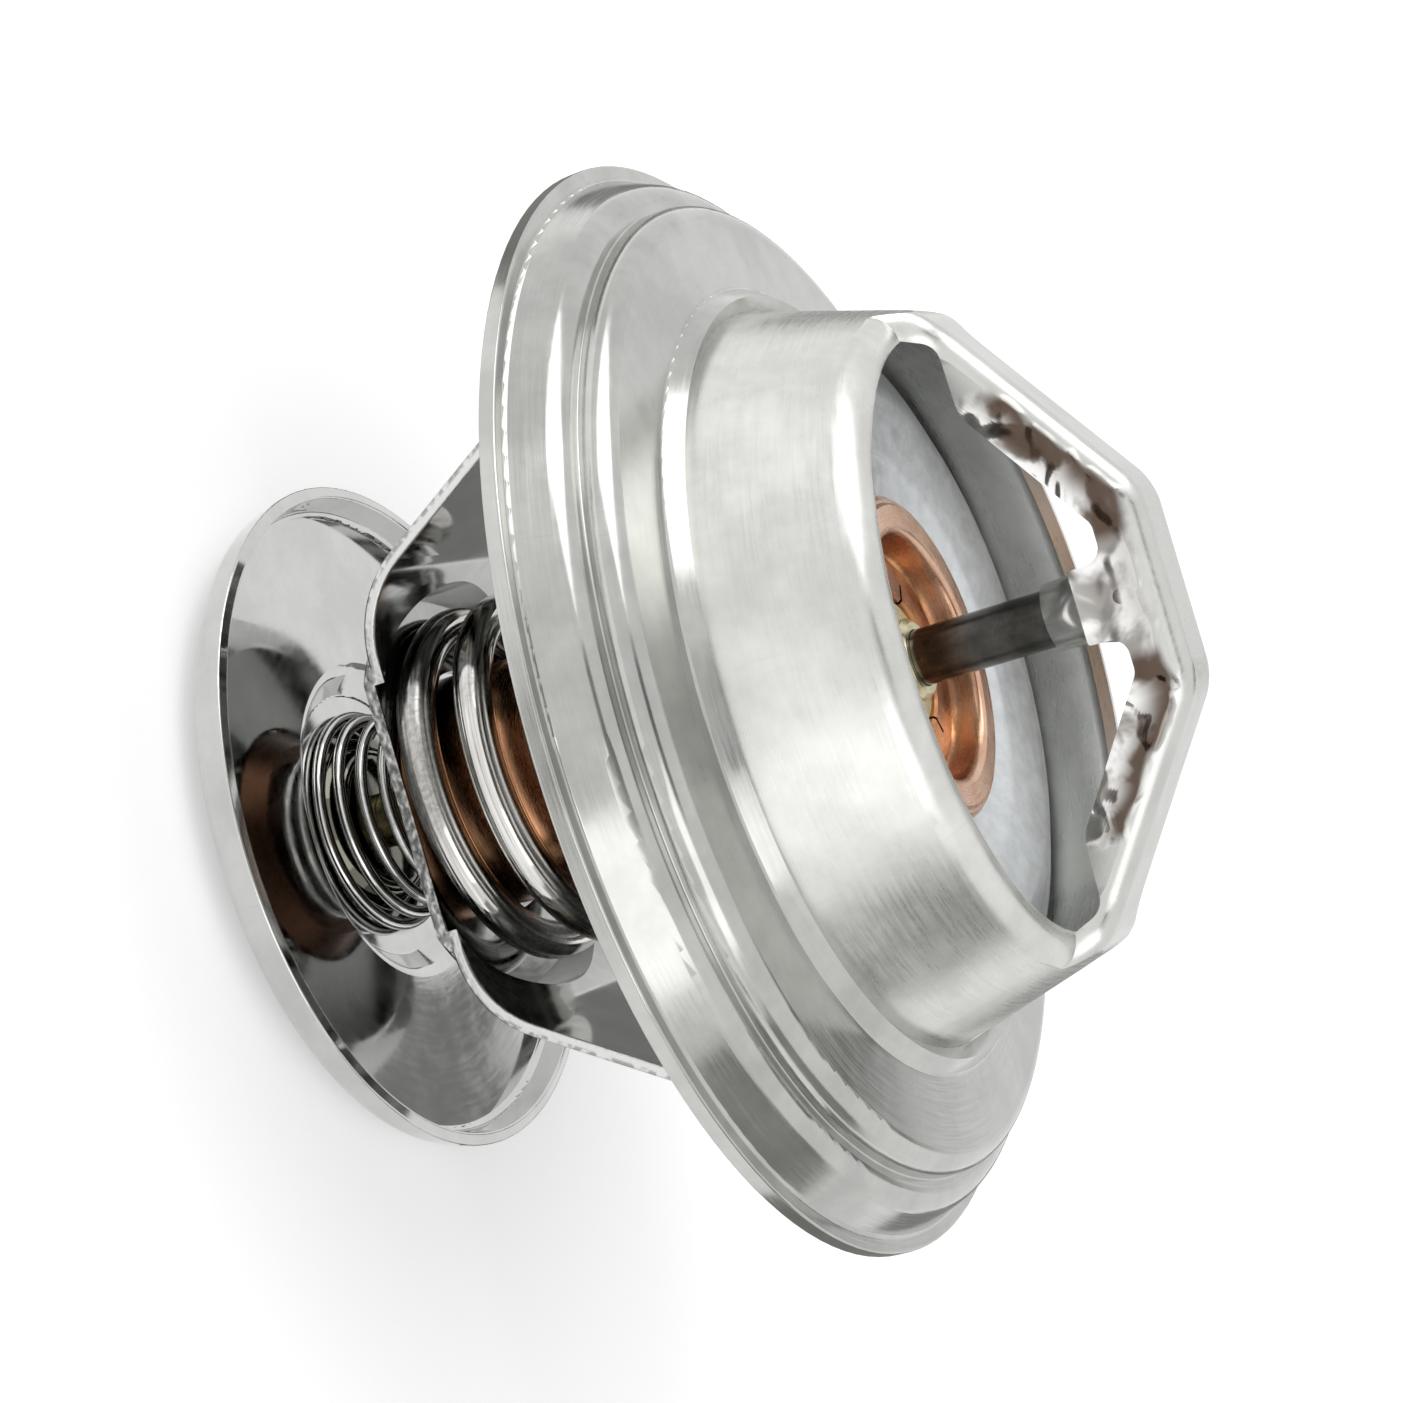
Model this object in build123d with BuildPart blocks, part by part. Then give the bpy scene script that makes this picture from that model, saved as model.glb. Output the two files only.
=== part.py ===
from build123d import *
from math import atan2, cos, pi, sin, tan
import os

# Engine coolant thermostat: a wax element opens a main valve against a heavy
# spring and carries a sprung bypass disc below it.
# Millimetres. +Z runs up the axis towards the bridge, X runs along the bridge,
# and the origin is on the axis at the middle of the flange rim's edge.

# Driving dimensions -------------------------------------------------------

# flange plate: one pressed ring of stainless sheet
RIM_RADIUS = 33.5
FLANGE_SHEET = 1.0
STEP_RADIUS = 29.75
SHOULDER_TOP = 3.4
STEP_TOP = 5.2
NECK_TOP = 6.4

# bridge cage: tapered collar, inward sill and bridge, one deep-drawn stamping
CAGE_SHEET = 0.8
BRIM_RADIUS = 28.0
BRIM_Z = 3.75
COLLAR_BASE_RADIUS = 22.85
COLLAR_TOP_RADIUS = 19.35
SILL_RADIUS = 18.2
SILL_TOP = 15.2
BRIDGE_TOP = 25.8
BRIDGE_FLAT = 5.9
BRIDGE_ROOT = 19.2
BRIDGE_ROOT_Z = 16.4
BRIDGE_WIDTH = 5.5
BRIDGE_SHOULDER = 1.2
WINDOW_END = 17.9
WINDOW_CORNER = 2.3
WEB_MIDDLE = 4.4
WEB_MIDDLE_Z = 22.7
WEB_END = 12.6
WEB_END_Z = 17.0
SOCKET_END = 18.2
SOCKET_RADIUS = 2.05

# piston, and the running fit of everything that slides on a pin
PISTON_RADIUS = 1.7
RUNNING_GAP = 0.05
PISTON_TOP = 24.3
PISTON_END = -12.4

# stirrup: one bent strap of stainless sheet
STRAP_SHEET = 0.7
STRAP_WIDTH = 20.8
STRAP_PLATE_TOP = -19.4
STRAP_CORNER = 12.7
STRAP_FOOT = 26.0
STRAP_FOOT_END = 28.6
STRAP_BEND = 6.7
POCKET_RADIUS = 12.9
POCKET_DEPTH = 0.7
STIRRUP_HOLE_RADIUS = 7.7

# main spring
MAIN_WIRE = 2.4
MAIN_COIL_RADIUS = 10.2
MAIN_TURNS = 6.1

# wax element
CUP_RADIUS = 7.4
CUP_WALL = 0.9
CUP_BOTTOM = -22.0
CUP_TOP = 10.4
CUP_LIP_RADIUS = 9.9
CUP_SEAT_Z = 8.6
CRIMP_RADIUS = 4.1
CRIMP_TOP = 8.85
CRIMP_SLITS = 6
GUIDE_RADIUS = 6.8
GUIDE_BOTTOM = 4.0
GUIDE_TOP = 7.8
BOOT_FLANGE_BOTTOM = 2.0
BOOT_RADIUS = 3.6
BOOT_END = -15.0
BACKUP_RING_THICKNESS = 0.8

# main valve plate
VALVE_SHEET = 0.9
VALVE_RADIUS = 20.5
VALVE_CREST_TOP = 10.6

# bypass valve
DISC_SHEET = 0.8
DISC_RIM_RADIUS = 21.35
DISC_RIM_TOP = -25.3
DISC_FLOOR_TOP = -27.1
HUB_RADIUS = 10.0
HUB_FLOOR_TOP = -28.5
STEM_RADIUS = 1.75
STEM_END = -29.1
CLIP_THICKNESS = 0.6
BYPASS_WIRE = 0.8
BYPASS_TURNS = 4.5
BYPASS_FOOT_RADIUS = 6.9
BYPASS_HEAD_RADIUS = 4.8

# the sheared edges of sheet metal are slightly rounded
SHEET_EDGE = 0.15

os.makedirs("parts", exist_ok=True)

# a solid that stands on its place instead of being centred on it
base_up = (Align.CENTER, Align.CENTER, Align.MIN)


def spring_path(turns, foot_radius, head_radius, foot_z, head_z, wire):
    """Points on a spring's centre line, its turns closing up at both ends."""
    steps_a_turn = 12
    end_turns = 0.9
    start_turn = 0.15
    steps = round(turns * steps_a_turn)
    seat_gap = 0.04
    closed_rise = 1.04 * wire
    rise = head_z - foot_z - wire - 2 * seat_gap
    open_rise = (rise - 2 * end_turns * closed_rise) / (turns - 2 * end_turns)
    points = []
    height = foot_z + wire / 2 + seat_gap
    for step in range(steps + 1):
        turn = step / steps_a_turn
        angle = 2 * pi * (turn + start_turn)
        radius = foot_radius + (head_radius - foot_radius) * step / steps
        points.append((radius * cos(angle), radius * sin(angle), height))
        at_an_end = turn < end_turns or turn >= turns - end_turns
        height += (closed_rise if at_an_end else open_rise) / steps_a_turn
    return points


def ring_edges(part, sort_axis, first, last):
    """Some of a revolved part's round edges, counted along an axis or by size."""
    return part.edges().filter_by(GeomType.CIRCLE).sort_by(sort_axis)[first:last]


# Flange plate --------------------------------------------------------------
# Rim, rounded shoulder, raised step, and a neck turned up against the collar.
half_flange = FLANGE_SHEET / 2
half_cage = CAGE_SHEET / 2
collar_rise = SILL_TOP - half_cage - BRIM_Z
collar_taper = (COLLAR_BASE_RADIUS - COLLAR_TOP_RADIUS) / collar_rise
collar_skin = COLLAR_BASE_RADIUS + half_cage * (1 + collar_taper**2) ** 0.5


def collar_outside(z):
    """Radius of the collar's tapered outer face at a height."""
    return collar_skin - collar_taper * (z - BRIM_Z)


neck_radius = collar_outside(NECK_TOP) + half_flange + 0.06
with BuildPart() as flange_plate:
    with BuildSketch(Plane.XZ):
        with BuildLine():
            FilletPolyline(
                (RIM_RADIUS, 0),
                (32.2, 0),
                (30.9, SHOULDER_TOP - half_flange),
                (STEP_RADIUS - half_flange, SHOULDER_TOP - half_flange),
                (STEP_RADIUS - half_flange, STEP_TOP - half_flange),
                (neck_radius + 0.9, STEP_TOP - half_flange + 0.3),
                (neck_radius, NECK_TOP - 0.2),
                radius=[0.8, 1.0, 0.6, 0.85, 0.8],
            )
        trace(line_width=FLANGE_SHEET)
    revolve(axis=Axis.Z)
    fillet(ring_edges(flange_plate, SortBy.RADIUS, -2, None), radius=SHEET_EDGE)
flange_plate.part.label = "flange_plate"
export_step(flange_plate.part, "parts/flange_plate.step")

# Bridge cage ---------------------------------------------------------------
# The bridge is an inverted channel: a strip with rounded shoulders whose long
# edges are turned down into webs. It runs up out of the collar at both sides.
root_x = COLLAR_TOP_RADIUS + 1.05
root_z = BRIDGE_ROOT_Z - 3.6
bridge_bends = [3.2, 4.2, 4.2, 3.2]
# room for cutting shapes that reach past the bridge on all sides
past = 9.0


def bridge_line(drop):
    """Side view of the strip's upper face, or of a face that lies lower."""
    return [
        (root_x - drop, root_z),
        (BRIDGE_ROOT - drop, BRIDGE_ROOT_Z - drop / 2),
        (BRIDGE_FLAT, BRIDGE_TOP - drop),
        (-BRIDGE_FLAT, BRIDGE_TOP - drop),
        (drop - BRIDGE_ROOT, BRIDGE_ROOT_Z - drop / 2),
        (drop - root_x, root_z),
    ]


def on_shoulder(edge):
    """True for the long upper edges of the bridge, from root to root."""
    middle = edge @ 0.5
    beside_the_middle = abs(middle.X) > 1
    along_the_strip = BRIDGE_WIDTH / 3 < abs(middle.Y) < WINDOW_CORNER + BRIDGE_WIDTH / 2 - 0.2
    return beside_the_middle and along_the_strip and middle.Z > WEB_END_Z


# the inside of the collar's outer face, carried up past the bridge
with BuildPart() as collar_cone:
    with BuildSketch(Plane.XZ):
        with BuildLine():
            Polyline(
                (0, BRIM_Z),
                (collar_outside(BRIM_Z), BRIM_Z),
                (collar_outside(BRIDGE_TOP + 1), BRIDGE_TOP + 1),
                (0, BRIDGE_TOP + 1),
                close=True,
            )
        make_face()
    revolve(axis=Axis.Z)

with BuildPart() as bridge_strip:
    with BuildSketch(Plane.XZ):
        with BuildLine():
            upper = FilletPolyline(*bridge_line(0), radius=bridge_bends)
            Polyline(upper @ 1, (-root_x, root_z - 2), (root_x, root_z - 2), upper @ 0)
        make_face()
    extrude(amount=past, both=True)
    # plan: even in width, with round corners out to the ends of the windows
    with BuildSketch():
        with BuildLine():
            side = FilletPolyline(
                (0, BRIDGE_WIDTH / 2),
                (WINDOW_END, BRIDGE_WIDTH / 2),
                (WINDOW_END, past - 1),
                radius=WINDOW_CORNER,
            )
            Polyline(side @ 1, (root_x + 1, past - 1), (root_x + 1, 0), (0, 0), side @ 0)
        make_face()
        mirror(about=Plane.XZ)
        mirror(about=Plane.YZ)
    extrude(amount=BRIDGE_TOP + 1, mode=Mode.INTERSECT)
    fillet(bridge_strip.edges().filter_by(on_shoulder), radius=BRIDGE_SHOULDER)
    # the webs' lower edges: level at the roots, sloping, then down to the socket
    with BuildSketch(Plane.XZ):
        with BuildLine():
            right_edge = FilletPolyline(
                (0, SOCKET_END + 2.3),
                (SOCKET_RADIUS + 0.15, SOCKET_END + 2.3),
                (SOCKET_RADIUS + 0.25, WEB_MIDDLE_Z),
                (WEB_MIDDLE, WEB_MIDDLE_Z),
                (WEB_END, WEB_END_Z),
                (WINDOW_END - 1, WEB_END_Z - 0.1),
                (WINDOW_END + 0.5, SILL_TOP - 2 * CAGE_SHEET),
                (root_x + 1, root_z),
                radius=[0.2, 1.0, 1.0, 2.5, 1.2, 0.1],
            )
            Polyline(right_edge @ 1, (root_x + 1, root_z - 3), (0, root_z - 3), right_edge @ 0)
        make_face()
        mirror(about=Plane.YZ)
    extrude(amount=past, both=True, mode=Mode.SUBTRACT)
    add(collar_cone.part, mode=Mode.INTERSECT)

# the hollow of the channel, down to just under the sill
with BuildPart() as bridge_channel:
    with BuildSketch(Plane.XZ):
        with BuildLine():
            lowered = FilletPolyline(*bridge_line(CAGE_SHEET), radius=bridge_bends)
            Polyline(lowered @ 1, (-root_x, root_z - 2), (root_x, root_z - 2), lowered @ 0)
        make_face()
    extrude(amount=past, both=True)
    with BuildSketch(Plane.XY.offset(SILL_TOP - 1.25 * CAGE_SHEET)):
        Rectangle(2 * root_x, BRIDGE_WIDTH - 2 * CAGE_SHEET)
    extrude(amount=BRIDGE_TOP, mode=Mode.INTERSECT)

# The piston's socket is pinched out of the webs and drawn down round the pin.
socket_top = BRIDGE_TOP - CAGE_SHEET
with BuildPart() as piston_socket:
    with BuildSketch(Plane.XZ):
        with BuildLine():
            wall = Spline(
                (SOCKET_RADIUS, SOCKET_END),
                (SOCKET_RADIUS + 0.05, SOCKET_END + 1.6),
                (SOCKET_RADIUS + 0.3, SOCKET_END + 3.0),
                (BRIDGE_WIDTH / 2 - 0.05, WEB_MIDDLE_Z - 0.3),
                (BRIDGE_WIDTH / 2 - 0.01, socket_top),
                tangents=[(0, 1), (0, 1)],
            )
            Polyline(wall @ 1, (0, socket_top), (0, SOCKET_END), wall @ 0)
        make_face()
    revolve(axis=Axis.Z)

# Two small dimples at the collar's foot lock the flange plate's neck to it.
with BuildPart() as stake_mark:
    Sphere(1.0)
    scale(by=(0.8, 1.7, 0.8))

stake_z = NECK_TOP + 0.4
stake_x = collar_outside(stake_z) + half_cage
with BuildPart() as bridge_cage:
    with BuildSketch(Plane.XZ):
        with BuildLine():
            FilletPolyline(
                (BRIM_RADIUS, BRIM_Z),
                (COLLAR_BASE_RADIUS, BRIM_Z),
                (COLLAR_TOP_RADIUS, SILL_TOP - half_cage),
                (SILL_RADIUS - 0.2, SILL_TOP - half_cage),
                radius=[0.9, 1.7],
            )
        trace(line_width=CAGE_SHEET)
    revolve(axis=Axis.Z)
    add(bridge_strip.part)
    add(bridge_channel.part, mode=Mode.SUBTRACT)
    add(piston_socket.part)
    with Locations((stake_x, 0, stake_z), (-stake_x, 0, stake_z)):
        add(stake_mark.part, mode=Mode.SUBTRACT)
    with Locations((0, 0, SOCKET_END)):
        Cylinder(PISTON_RADIUS, PISTON_TOP - SOCKET_END, align=base_up, mode=Mode.SUBTRACT)
bridge_cage.part.label = "bridge_cage"
export_step(bridge_cage.part, "parts/bridge_cage.step")

# Piston --------------------------------------------------------------------
# A ground steel pin, held in the bridge, with a tapered end inside the boot.
with BuildPart() as piston:
    with Locations((0, 0, PISTON_END)):
        Cylinder(PISTON_RADIUS, PISTON_TOP - PISTON_END, align=base_up)
    chamfer(piston.edges().group_by(Axis.Z)[0], length=3.0, length2=0.8)
    chamfer(piston.edges().group_by(Axis.Z)[-1], length=0.3)
piston.part.label = "piston"
export_step(piston.part, "parts/piston.step")

# Stirrup -------------------------------------------------------------------
# Flat middle with a round pocket for the spring, two sloping legs, and feet
# that are welded under the cage's brim.
half_strap = STRAP_SHEET / 2
foot_z = BRIM_Z - half_cage - half_strap
strap_line = [
    (STRAP_FOOT_END, foot_z),
    (STRAP_FOOT, foot_z),
    (STRAP_CORNER, STRAP_PLATE_TOP - half_strap),
    (-STRAP_CORNER, STRAP_PLATE_TOP - half_strap),
    (-STRAP_FOOT, foot_z),
    (-STRAP_FOOT_END, foot_z),
]
strap_bends = [1.0, STRAP_BEND, STRAP_BEND, 1.0]
pocket_floor = STRAP_PLATE_TOP - POCKET_DEPTH
pan_radius = POCKET_RADIUS + STRAP_SHEET * 0.9
# how far the legs' inner faces lie inside the strap's middle line
leg_angle = atan2(foot_z - STRAP_PLATE_TOP + half_strap, STRAP_FOOT - STRAP_CORNER)
inner_foot = STRAP_FOOT - half_strap / sin(leg_angle)
inner_corner = STRAP_CORNER - half_strap * tan(leg_angle / 2)


def on_strap_side(edge):
    """True for the strap's two long outlines at each side."""
    middle = edge @ 0.5
    return abs(abs(middle.Y) - STRAP_WIDTH / 2) < 0.01 and edge.length > STRAP_SHEET + 0.1


# the pressed pan, up to the level of the strap's upper face
with BuildPart() as spring_pan:
    with BuildSketch(Plane.XZ):
        with BuildLine():
            Polyline(
                (0, pocket_floor - STRAP_SHEET),
                (pan_radius - 0.5, pocket_floor - STRAP_SHEET),
                (pan_radius, pocket_floor - STRAP_SHEET + 0.5),
                (pan_radius, -14.0),
                (POCKET_RADIUS, -14.0),
                (POCKET_RADIUS, pocket_floor),
                (0, pocket_floor),
                close=True,
            )
        make_face()
    revolve(axis=Axis.Z)
    with BuildSketch(Plane.XZ):
        with BuildLine():
            upper = FilletPolyline(
                (inner_foot, foot_z),
                (inner_corner, STRAP_PLATE_TOP),
                (-inner_corner, STRAP_PLATE_TOP),
                (-inner_foot, foot_z),
                radius=STRAP_BEND - half_strap,
            )
            Polyline(upper @ 1, (-STRAP_FOOT, -25), (STRAP_FOOT, -25), upper @ 0)
        make_face()
    extrude(amount=STRAP_WIDTH / 2, both=True, mode=Mode.INTERSECT)

with BuildPart() as stirrup:
    with BuildSketch(Plane.XZ):
        with BuildLine():
            FilletPolyline(*strap_line, radius=strap_bends)
        trace(line_width=STRAP_SHEET)
    extrude(amount=STRAP_WIDTH / 2, both=True)
    fillet(stirrup.edges().filter_by(on_strap_side), radius=SHEET_EDGE)
    with BuildSketch(Plane.XY.offset(pocket_floor - STRAP_SHEET)):
        Circle(STEP_RADIUS - 1.6)
    extrude(amount=30, mode=Mode.INTERSECT)
    with BuildSketch(Plane.XY.offset(pocket_floor)):
        Circle(POCKET_RADIUS)
    extrude(amount=5, mode=Mode.SUBTRACT)
    add(spring_pan.part)
    with BuildSketch(Plane.XY.offset(pocket_floor - STRAP_SHEET)):
        Circle(STIRRUP_HOLE_RADIUS)
    extrude(amount=5, mode=Mode.SUBTRACT)
stirrup.part.label = "stirrup"
export_step(stirrup.part, "parts/stirrup.step")

# Main valve ----------------------------------------------------------------
# A dished plate whose rim cone closes against the inside of the collar.
half_valve = VALVE_SHEET / 2
with BuildPart() as main_valve:
    with BuildSketch(Plane.XZ):
        with BuildLine():
            FilletPolyline(
                (CUP_RADIUS + 0.02, CUP_SEAT_Z - half_valve),
                (10.6, CUP_SEAT_Z - half_valve),
                (13.2, 9.3),
                (16.9, VALVE_CREST_TOP - half_valve),
                (VALVE_RADIUS - 0.35, 8.8),
                (VALVE_RADIUS - 0.35, 7.6),
                radius=[1.2, 1.6, 1.2, 0.7],
            )
        trace(line_width=VALVE_SHEET)
    revolve(axis=Axis.Z)
    fillet(ring_edges(main_valve, Axis.Z, 0, 2), radius=SHEET_EDGE)
main_valve.part.label = "main_valve"
export_step(main_valve.part, "parts/main_valve.step")

# Main spring ---------------------------------------------------------------
valve_underside = CUP_SEAT_Z - VALVE_SHEET
main_path = spring_path(
    MAIN_TURNS, MAIN_COIL_RADIUS, MAIN_COIL_RADIUS, pocket_floor, valve_underside, MAIN_WIRE
)
with BuildPart() as main_spring:
    with BuildLine() as main_wire_line:
        Spline(*main_path)
    with BuildSketch(Plane(main_wire_line.line @ 0, z_dir=main_wire_line.line % 0)):
        Circle(MAIN_WIRE / 2)
    sweep(is_frenet=True)
main_spring.part.label = "main_spring"
export_step(main_spring.part, "parts/main_spring.step")

# Wax element ---------------------------------------------------------------
# Drawn copper cup: its lip is folded out over the valve plate and in again, and
# its mouth is crimped inward over the guide as a slit ledge in a round groove.
cup_bore = CUP_RADIUS - CUP_WALL
with BuildPart() as element_cup:
    with BuildSketch(Plane.XZ):
        with BuildLine():
            groove = Spline(
                (CUP_LIP_RADIUS - 1.9, CUP_TOP),
                (CUP_LIP_RADIUS - 2.5, CUP_TOP - 0.8),
                (GUIDE_RADIUS + 0.05, CRIMP_TOP - 0.45),
                (GUIDE_RADIUS - 0.6, CRIMP_TOP),
                tangents=[(-1, 0), (-1, 0.1)],
            )
            Polyline(
                groove @ 1,
                (CRIMP_RADIUS + 0.15, CRIMP_TOP),
                (CRIMP_RADIUS, CRIMP_TOP - 0.15),
                (CRIMP_RADIUS, GUIDE_TOP + 0.02),
                (GUIDE_RADIUS + 0.02, GUIDE_TOP + 0.02),
                (GUIDE_RADIUS + 0.02, BOOT_FLANGE_BOTTOM),
                (cup_bore, BOOT_FLANGE_BOTTOM),
                (cup_bore, CUP_BOTTOM + CUP_WALL),
                (STEM_RADIUS, CUP_BOTTOM + CUP_WALL),
                (STEM_RADIUS, CUP_BOTTOM),
                (CUP_RADIUS - 1.2, CUP_BOTTOM),
                (CUP_RADIUS, CUP_BOTTOM + 1.2),
                (CUP_RADIUS, CUP_SEAT_Z),
                (CUP_LIP_RADIUS - 0.3, CUP_SEAT_Z),
                (CUP_LIP_RADIUS, CUP_SEAT_Z + 0.3),
                (CUP_LIP_RADIUS, CUP_TOP - 0.5),
                (CUP_LIP_RADIUS - 0.3, CUP_TOP - 0.2),
                (CUP_LIP_RADIUS - 0.5, CUP_TOP - 0.2),
                (CUP_LIP_RADIUS - 0.7, CUP_TOP),
                groove @ 0,
            )
        make_face()
    revolve(axis=Axis.Z)
    with BuildSketch(Plane.XY.offset(GUIDE_TOP + 0.3)):
        with PolarLocations(CRIMP_RADIUS + 0.4, CRIMP_SLITS, start_angle=30):
            Rectangle(1.6, 0.25)
    extrude(amount=1, mode=Mode.SUBTRACT)
element_cup.part.label = "element_cup"
export_step(element_cup.part, "parts/element_cup.step")

# Turned brass guide: a plug under the crimp, with a boss and a collar round
# the piston.
guide_bore = PISTON_RADIUS + RUNNING_GAP
boss_top = CRIMP_TOP - 0.2
with BuildPart() as piston_guide:
    with BuildSketch(Plane.XZ):
        with BuildLine():
            Polyline(
                (guide_bore, GUIDE_BOTTOM),
                (GUIDE_RADIUS, GUIDE_BOTTOM),
                (GUIDE_RADIUS, GUIDE_TOP),
                (CRIMP_RADIUS - 0.02, GUIDE_TOP),
                (CRIMP_RADIUS - 0.02, boss_top - 0.2),
                (CRIMP_RADIUS - 0.3, boss_top),
                (PISTON_RADIUS + 0.8, boss_top),
                (PISTON_RADIUS + 0.8, boss_top + 0.8),
                (PISTON_RADIUS + 0.5, boss_top + 1.1),
                (guide_bore, boss_top + 1.1),
                close=True,
            )
        make_face()
    revolve(axis=Axis.Z)
piston_guide.part.label = "piston_guide"
export_step(piston_guide.part, "parts/piston_guide.step")

# Backup ring between the guide and the rubber, which cannot creep past it.
backup_bottom = GUIDE_BOTTOM - BACKUP_RING_THICKNESS
with BuildPart() as backup_ring:
    with BuildSketch(Plane.XY.offset(backup_bottom)):
        Circle(GUIDE_RADIUS)
        Circle(guide_bore, mode=Mode.SUBTRACT)
    extrude(amount=BACKUP_RING_THICKNESS)
backup_ring.part.label = "backup_ring"
export_step(backup_ring.part, "parts/backup_ring.step")

# Rubber boot: a flanged sleeve round the piston, closed at its lower end.
boot_profile = [
    (0, BOOT_END),
    (BOOT_RADIUS - 1.0, BOOT_END),
    (BOOT_RADIUS - 0.4, BOOT_END + 1.0),
    (BOOT_RADIUS, 0),
    (BOOT_RADIUS + 0.4, BOOT_FLANGE_BOTTOM),
]
with BuildPart() as rubber_boot:
    with BuildSketch(Plane.XZ):
        with BuildLine():
            Polyline(
                *boot_profile,
                (GUIDE_RADIUS, BOOT_FLANGE_BOTTOM),
                (GUIDE_RADIUS, backup_bottom),
                (guide_bore, backup_bottom),
                (guide_bore, PISTON_END - 0.8),
                (0, PISTON_END - 0.8),
                close=True,
            )
        make_face()
    revolve(axis=Axis.Z)
rubber_boot.part.label = "rubber_boot"
export_step(rubber_boot.part, "parts/rubber_boot.step")

# Bypass stem: a headed pin riveted through the cup's floor.
stem_head_top = CUP_BOTTOM + CUP_WALL + 1.0
clip_top = DISC_FLOOR_TOP - DISC_SHEET - 0.05
with BuildPart() as bypass_stem:
    with BuildSketch(Plane.XZ):
        with BuildLine():
            Polyline(
                (0, STEM_END),
                (STEM_RADIUS - 0.3, STEM_END),
                (STEM_RADIUS, STEM_END + 0.3),
                (STEM_RADIUS, clip_top - CLIP_THICKNESS),
                (STEM_RADIUS - 0.4, clip_top - CLIP_THICKNESS),
                (STEM_RADIUS - 0.4, clip_top),
                (STEM_RADIUS, clip_top),
                (STEM_RADIUS, CUP_BOTTOM + CUP_WALL),
                (3.2, CUP_BOTTOM + CUP_WALL),
                (3.2, stem_head_top),
                (0, stem_head_top),
                close=True,
            )
        make_face()
    revolve(axis=Axis.Z)
bypass_stem.part.label = "bypass_stem"
export_step(bypass_stem.part, "parts/bypass_stem.step")

# Wax charge: it fills the cup round the boot and over the stem's head.
with BuildPart() as wax_charge:
    with BuildSketch(Plane.XZ):
        with BuildLine():
            Polyline(
                (3.2, CUP_BOTTOM + CUP_WALL),
                (cup_bore, CUP_BOTTOM + CUP_WALL),
                (cup_bore, BOOT_FLANGE_BOTTOM),
                *reversed(boot_profile),
                (0, stem_head_top),
                (3.2, stem_head_top),
                close=True,
            )
        make_face()
    revolve(axis=Axis.Z)
wax_charge.part.label = "wax_charge"
export_step(wax_charge.part, "parts/wax_charge.step")

# Retaining ring: an open ring with three lobes that grip the stem's groove.
with BuildPart() as retaining_ring:
    with BuildSketch(Plane.XY.offset(clip_top - CLIP_THICKNESS)):
        Circle(3.6)
        Circle(2.5, mode=Mode.SUBTRACT)
        with PolarLocations(2.1, 3, start_angle=90):
            Rectangle(1.5, 1.3)
        Circle(STEM_RADIUS - 0.4, mode=Mode.SUBTRACT)
        with Locations((0, -3)):
            Rectangle(2.0, 3.4, mode=Mode.SUBTRACT)
    extrude(amount=CLIP_THICKNESS)
retaining_ring.part.label = "retaining_ring"
export_step(retaining_ring.part, "parts/retaining_ring.step")

# Bypass disc ---------------------------------------------------------------
# A dished disc with an upturned rim, a ring-shaped seat for its spring, and a
# raised middle that leaves room for the retaining ring.
half_disc = DISC_SHEET / 2
floor_z = DISC_FLOOR_TOP - half_disc
hub_z = HUB_FLOOR_TOP - half_disc
with BuildPart() as bypass_disc:
    with BuildSketch(Plane.XZ):
        with BuildLine():
            FilletPolyline(
                (DISC_RIM_RADIUS - half_disc, DISC_RIM_TOP),
                (DISC_RIM_RADIUS - half_disc - 0.55, floor_z),
                (HUB_RADIUS, floor_z),
                (HUB_RADIUS - 1.4, hub_z),
                (5.3, hub_z),
                (4.3, floor_z),
                (STEM_RADIUS + RUNNING_GAP, floor_z),
                radius=[0.9, 0.6, 0.6, 0.6, 0.6],
            )
        trace(line_width=DISC_SHEET)
    revolve(axis=Axis.Z)
    fillet(ring_edges(bypass_disc, Axis.Z, -2, None), radius=SHEET_EDGE)
bypass_disc.part.label = "bypass_disc"
export_step(bypass_disc.part, "parts/bypass_disc.step")

# Bypass spring -------------------------------------------------------------
bypass_path = spring_path(
    BYPASS_TURNS, BYPASS_FOOT_RADIUS, BYPASS_HEAD_RADIUS, HUB_FLOOR_TOP, CUP_BOTTOM, BYPASS_WIRE
)
with BuildPart() as bypass_spring:
    with BuildLine() as bypass_wire_line:
        Spline(*bypass_path)
    with BuildSketch(Plane(bypass_wire_line.line @ 0, z_dir=bypass_wire_line.line % 0)):
        Circle(BYPASS_WIRE / 2)
    sweep(is_frenet=True)
bypass_spring.part.label = "bypass_spring"
export_step(bypass_spring.part, "parts/bypass_spring.step")
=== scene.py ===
import bmesh
import bpy
from math import cos, pi, radians, sin
from mathutils import Matrix, Vector


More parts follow.
